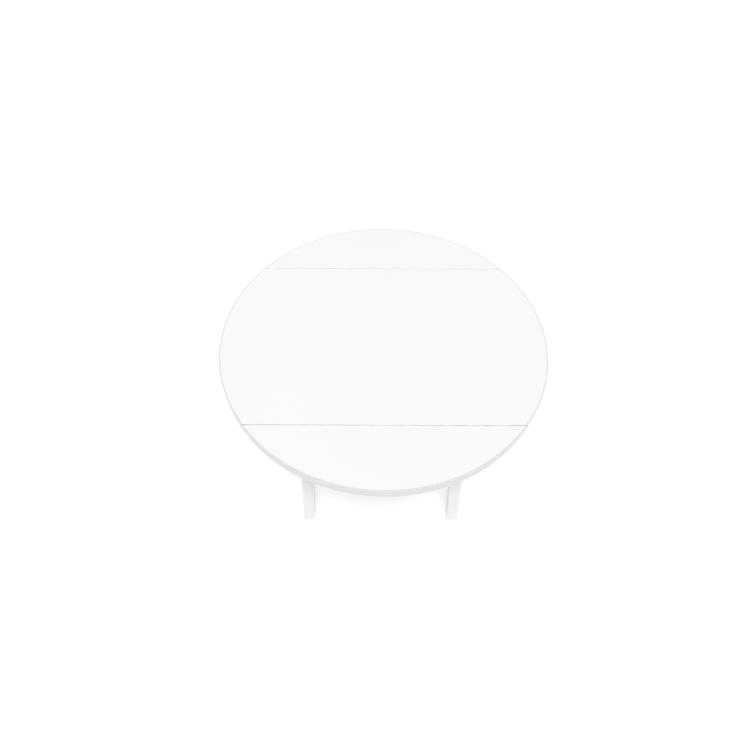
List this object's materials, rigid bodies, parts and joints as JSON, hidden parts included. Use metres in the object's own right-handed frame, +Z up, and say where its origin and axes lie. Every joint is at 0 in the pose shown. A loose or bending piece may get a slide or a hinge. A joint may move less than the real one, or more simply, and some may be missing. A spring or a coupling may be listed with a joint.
{
  "type": "drop-leaf table",
  "caption": "Round white drop-leaf dining table on splayed square legs, with a wide centre panel, hinged leaves and swing-out wooden brackets that hold the leaves up.",
  "frame": {"origin": "on the floor, under the middle of the round top", "axes": "+Z up, X along the two seams of the top, -Y towards the front leaf"},
  "size_m": [1, 0.9998, 0.75],
  "materials": {
    "white_board": "white satin lacquer on a thick board",
    "white_frame": "white satin paint on solid wood, faint grain",
    "bare_pine": "planed softwood, unfinished",
    "zinc_steel": "zinc-plated pressed steel",
    "bright_steel": "bright plated steel",
    "glide_plastic": "moulded white plastic"
  },
  "bodies": {
    "table": {"centre_panel": "white_board", "leg_front_left": "white_frame", "foot_glide_front_left": "glide_plastic", "corner_plate_front_left": "zinc_steel", "bracket_block_front_left": "white_frame", "bracket_pin_front_left": "bright_steel", "leg_front_right": "white_frame", "foot_glide_front_right": "glide_plastic", "corner_plate_front_right": "zinc_steel", "bracket_block_front_right": "white_frame", "bracket_pin_front_right": "bright_steel", "leg_back_left": "white_frame", "foot_glide_back_left": "glide_plastic", "corner_plate_back_left": "zinc_steel", "bracket_block_back_left": "white_frame", "bracket_pin_back_left": "bright_steel", "leg_back_right": "white_frame", "foot_glide_back_right": "glide_plastic", "corner_plate_back_right": "zinc_steel", "bracket_block_back_right": "white_frame", "bracket_pin_back_right": "bright_steel", "apron_front": "white_frame", "apron_back": "white_frame", "apron_left": "white_frame", "apron_right": "white_frame", "cleat_left": "bare_pine", "cleat_right": "bare_pine", "hinge_pins_front": "bright_steel", "hinge_front_left_panel_plate": "zinc_steel", "hinge_front_right_panel_plate": "zinc_steel", "hinge_pins_back": "bright_steel", "hinge_back_left_panel_plate": "zinc_steel", "hinge_back_right_panel_plate": "zinc_steel", "corner_plate_screws": "bright_steel", "leg_bolts": "bright_steel", "leg_washers": "bright_steel", "leg_nuts": "bright_steel", "cleat_screws": "bright_steel", "hinge_screws_panel": "bright_steel", "bracket_block_screws": "bright_steel"},
    "front_leaf": {"front_leaf": "white_board", "hinge_front_left_leaf_plate": "zinc_steel", "hinge_front_right_leaf_plate": "zinc_steel", "hinge_screws_front_leaf": "bright_steel", "leaf_stops_front": "white_frame"},
    "back_leaf": {"back_leaf": "white_board", "hinge_back_left_leaf_plate": "zinc_steel", "hinge_back_right_leaf_plate": "zinc_steel", "hinge_screws_back_leaf": "bright_steel", "leaf_stops_back": "white_frame"},
    "bracket_front_left": {"bracket_front_left": "white_frame"},
    "bracket_front_right": {"bracket_front_right": "white_frame"},
    "bracket_back_left": {"bracket_back_left": "white_frame"},
    "bracket_back_right": {"bracket_back_right": "white_frame"}
  },
  "joints": [
    {"name": "front_leaf_drop", "type": "hinge", "parent": "table", "child": "front_leaf", "pos_m": [0, -0.3025, 0.7117], "axis": [1, 0, 0], "range_deg": [0, 90]},
    {"name": "back_leaf_drop", "type": "hinge", "parent": "table", "child": "back_leaf", "pos_m": [0, 0.3025, 0.7117], "axis": [-1, 0, 0], "range_deg": [0, 90]},
    {"name": "bracket_front_left_swing", "type": "hinge", "parent": "table", "child": "bracket_front_left", "pos_m": [-0.172, -0.25026, 0.69], "axis": [0, 0, 1], "range_deg": [-90, 0]},
    {"name": "bracket_front_right_swing", "type": "hinge", "parent": "table", "child": "bracket_front_right", "pos_m": [0.172, -0.25026, 0.69], "axis": [0, 0, -1], "range_deg": [-90, 0]},
    {"name": "bracket_back_left_swing", "type": "hinge", "parent": "table", "child": "bracket_back_left", "pos_m": [-0.172, 0.25026, 0.69], "axis": [0, 0, -1], "range_deg": [-90, 0]},
    {"name": "bracket_back_right_swing", "type": "hinge", "parent": "table", "child": "bracket_back_right", "pos_m": [0.172, 0.25026, 0.69], "axis": [0, 0, 1], "range_deg": [-90, 0]}
  ]
}
